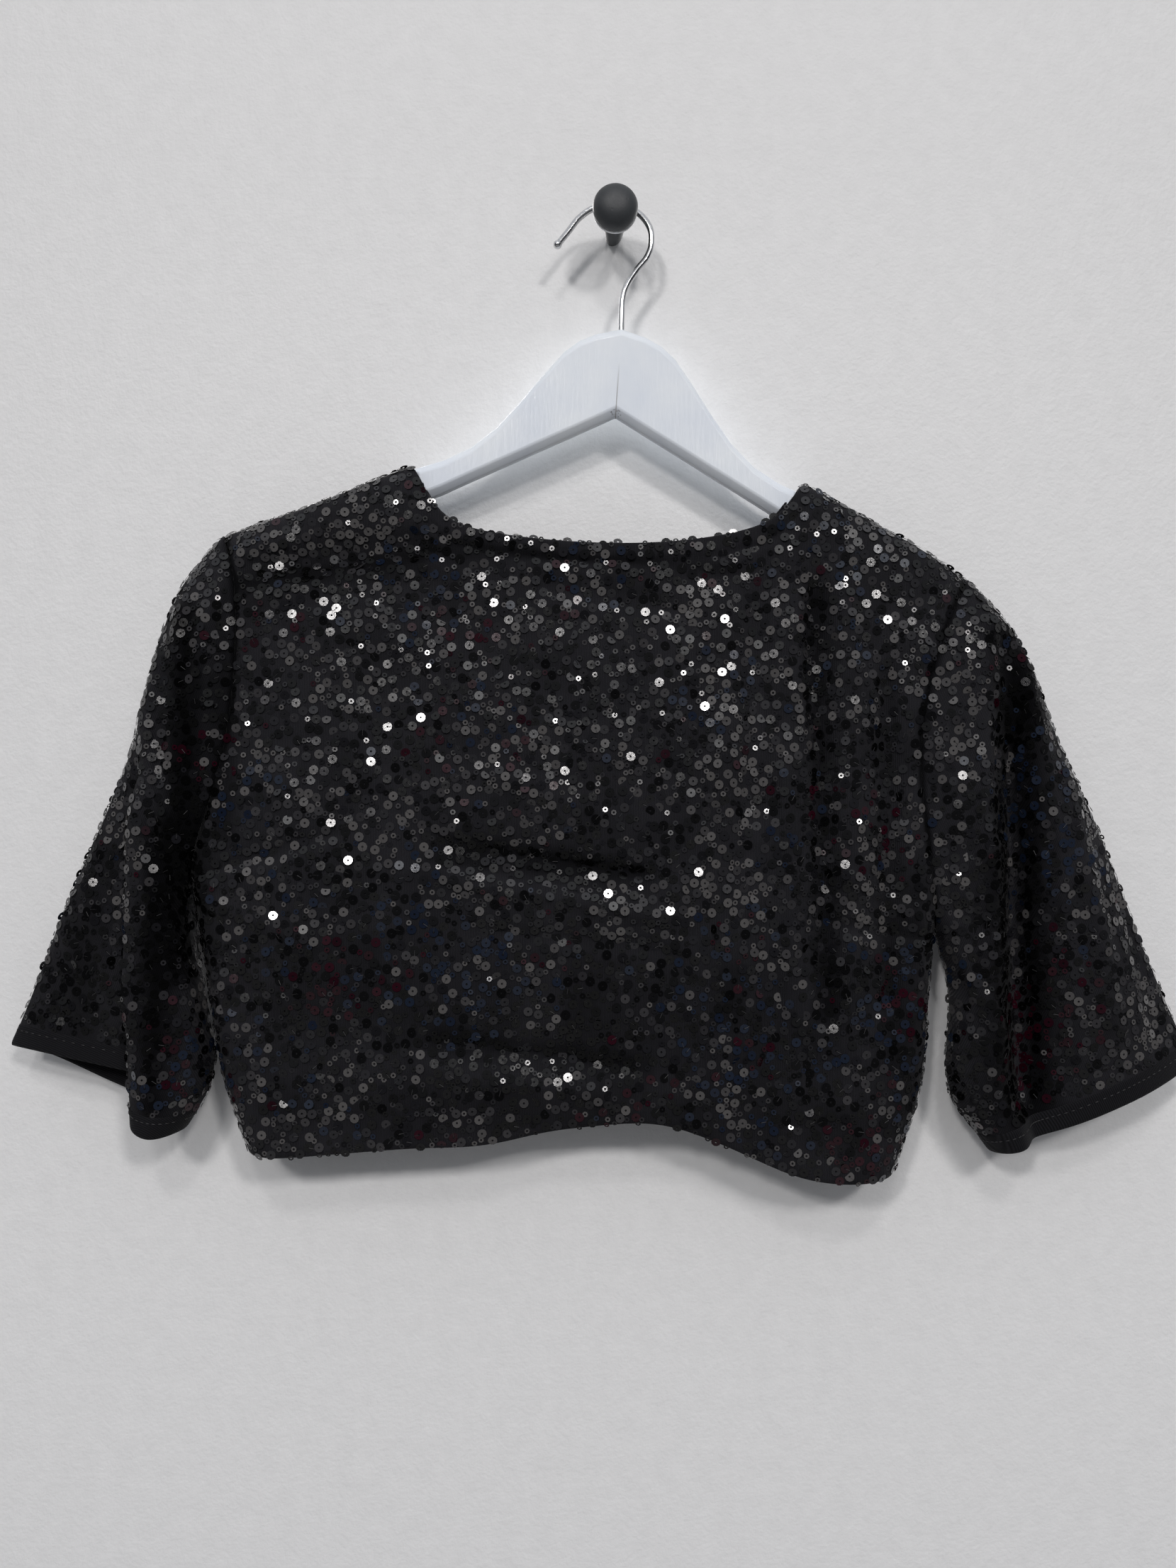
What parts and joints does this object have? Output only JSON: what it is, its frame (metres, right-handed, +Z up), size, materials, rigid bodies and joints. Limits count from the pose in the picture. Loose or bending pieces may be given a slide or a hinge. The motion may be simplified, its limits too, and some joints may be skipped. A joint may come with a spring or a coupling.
{
  "type": "bolero jacket on a hanger",
  "caption": "Cropped black sequined bolero jacket with flared elbow sleeves and plain bound cuffs, hung back outwards on a white wooden hanger from a dark wall knob.",
  "frame": {"origin": "centre of the wall knob's flat back, on the wall", "axes": "+Z up, +Y into the wall, +X to the right for someone who faces the wall; the jacket's back looks towards -Y"},
  "size_m": [0.637, 0.0486, 0.5228],
  "materials": {
    "sequined_cloth": "matte charcoal knit under glossy black sequins",
    "binding": "matte twill",
    "hanger_paint": "gloss white paint",
    "hook_wire": "polished",
    "knob_paint": "matte dark grey"
  },
  "bodies": {
    "root": {"back": "sequined_cloth", "front_left": "sequined_cloth", "front_right": "sequined_cloth", "sleeve_left": "sequined_cloth", "sleeve_right": "sequined_cloth", "cuff_left": "binding", "cuff_right": "binding", "neck_band": "binding", "hanger": "hanger_paint", "hook": "hook_wire", "wall_knob": "knob_paint"}
  },
  "joints": []
}
